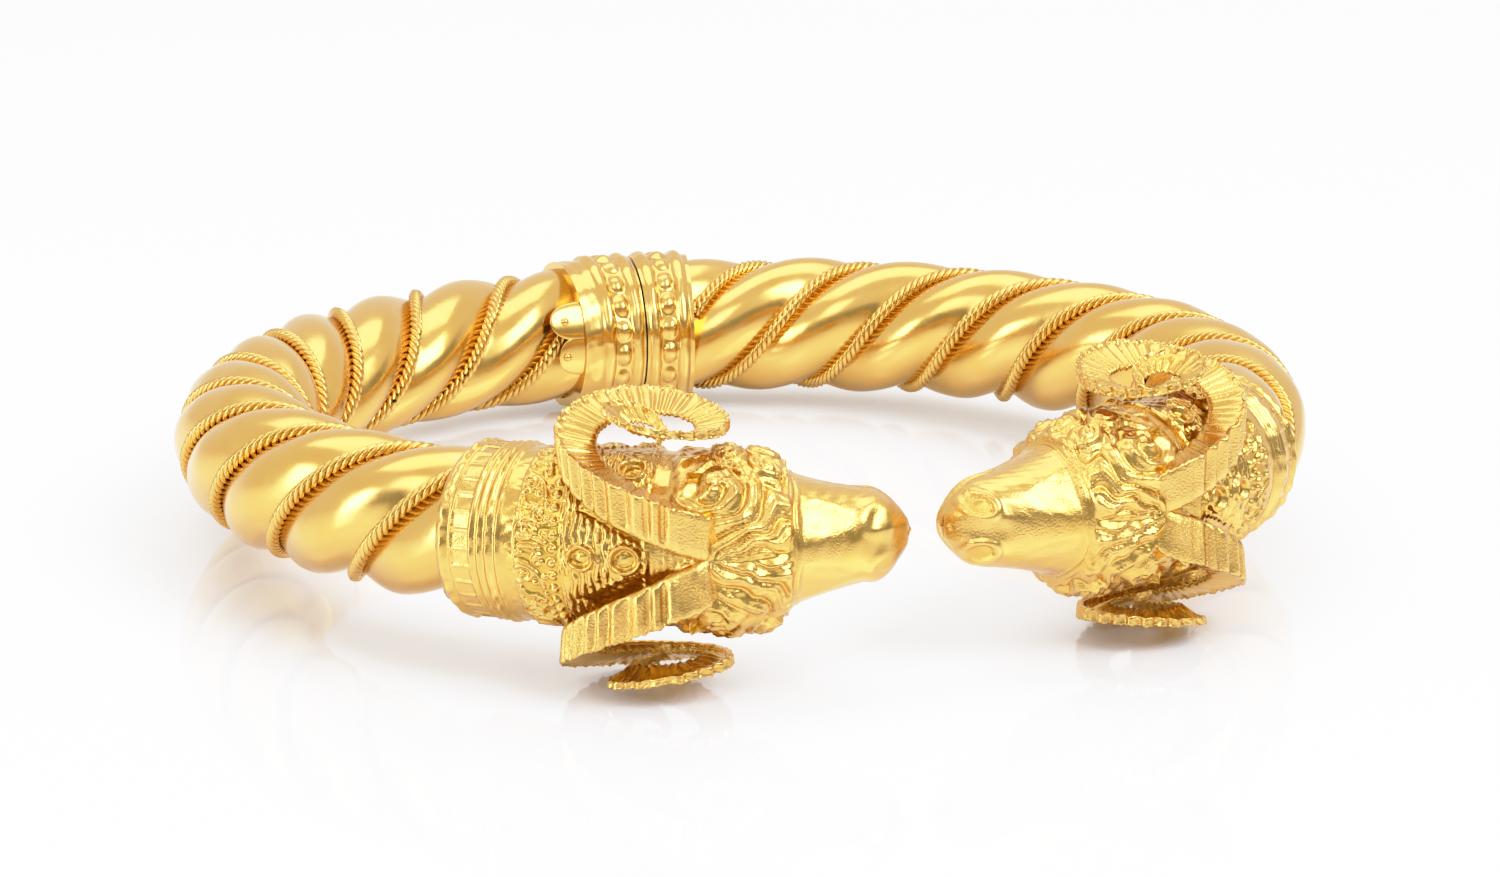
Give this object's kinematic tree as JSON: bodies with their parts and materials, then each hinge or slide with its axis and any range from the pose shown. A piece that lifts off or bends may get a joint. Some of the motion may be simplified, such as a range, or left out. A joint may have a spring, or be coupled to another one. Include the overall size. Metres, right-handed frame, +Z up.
{
  "type": "hinged bangle bracelet",
  "caption": "Hinged bangle with a twisted three-lobed hoop, rope wires in its grooves and two facing ram's heads with coiled horns.",
  "frame": {"origin": "centre of the bounding box's base: the surface that the bangle rests on, under the middle of the wrist hollow", "axes": "+Z up, away from the surface and nearly along the wrist hollow's axis; -Y points at the gap between the two noses, +Y at the hinge, +X at the right half"},
  "size_m": [0.0758, 0.0768, 0.0184],
  "materials": {
    "polished_gold": "polished, lightly scratched",
    "twisted_wire": "polished twisted wire with dark hollows",
    "worked_gold": "satin, darker in the hollows",
    "cast_gold": "satin, darker in the hollows"
  },
  "bodies": {
    "left_half": {"hoop_left": "polished_gold", "rope_left_1": "twisted_wire", "rope_left_2": "twisted_wire", "rope_left_3": "twisted_wire", "head_collar_left": "worked_gold", "head_left": "cast_gold", "hinge_collar_left": "worked_gold", "hinge_pin": "worked_gold"},
    "right_half": {"hoop_right": "polished_gold", "rope_right_1": "twisted_wire", "rope_right_2": "twisted_wire", "rope_right_3": "twisted_wire", "head_collar_right": "worked_gold", "head_right": "cast_gold", "hinge_collar_right": "worked_gold"}
  },
  "joints": [
    {"name": "hinge", "type": "hinge", "parent": "left_half", "child": "right_half", "pos_m": [0.00407, 0.03693, 0.00538], "axis": [0, 0.0579, 0.9983], "range_deg": [0, 40]}
  ]
}
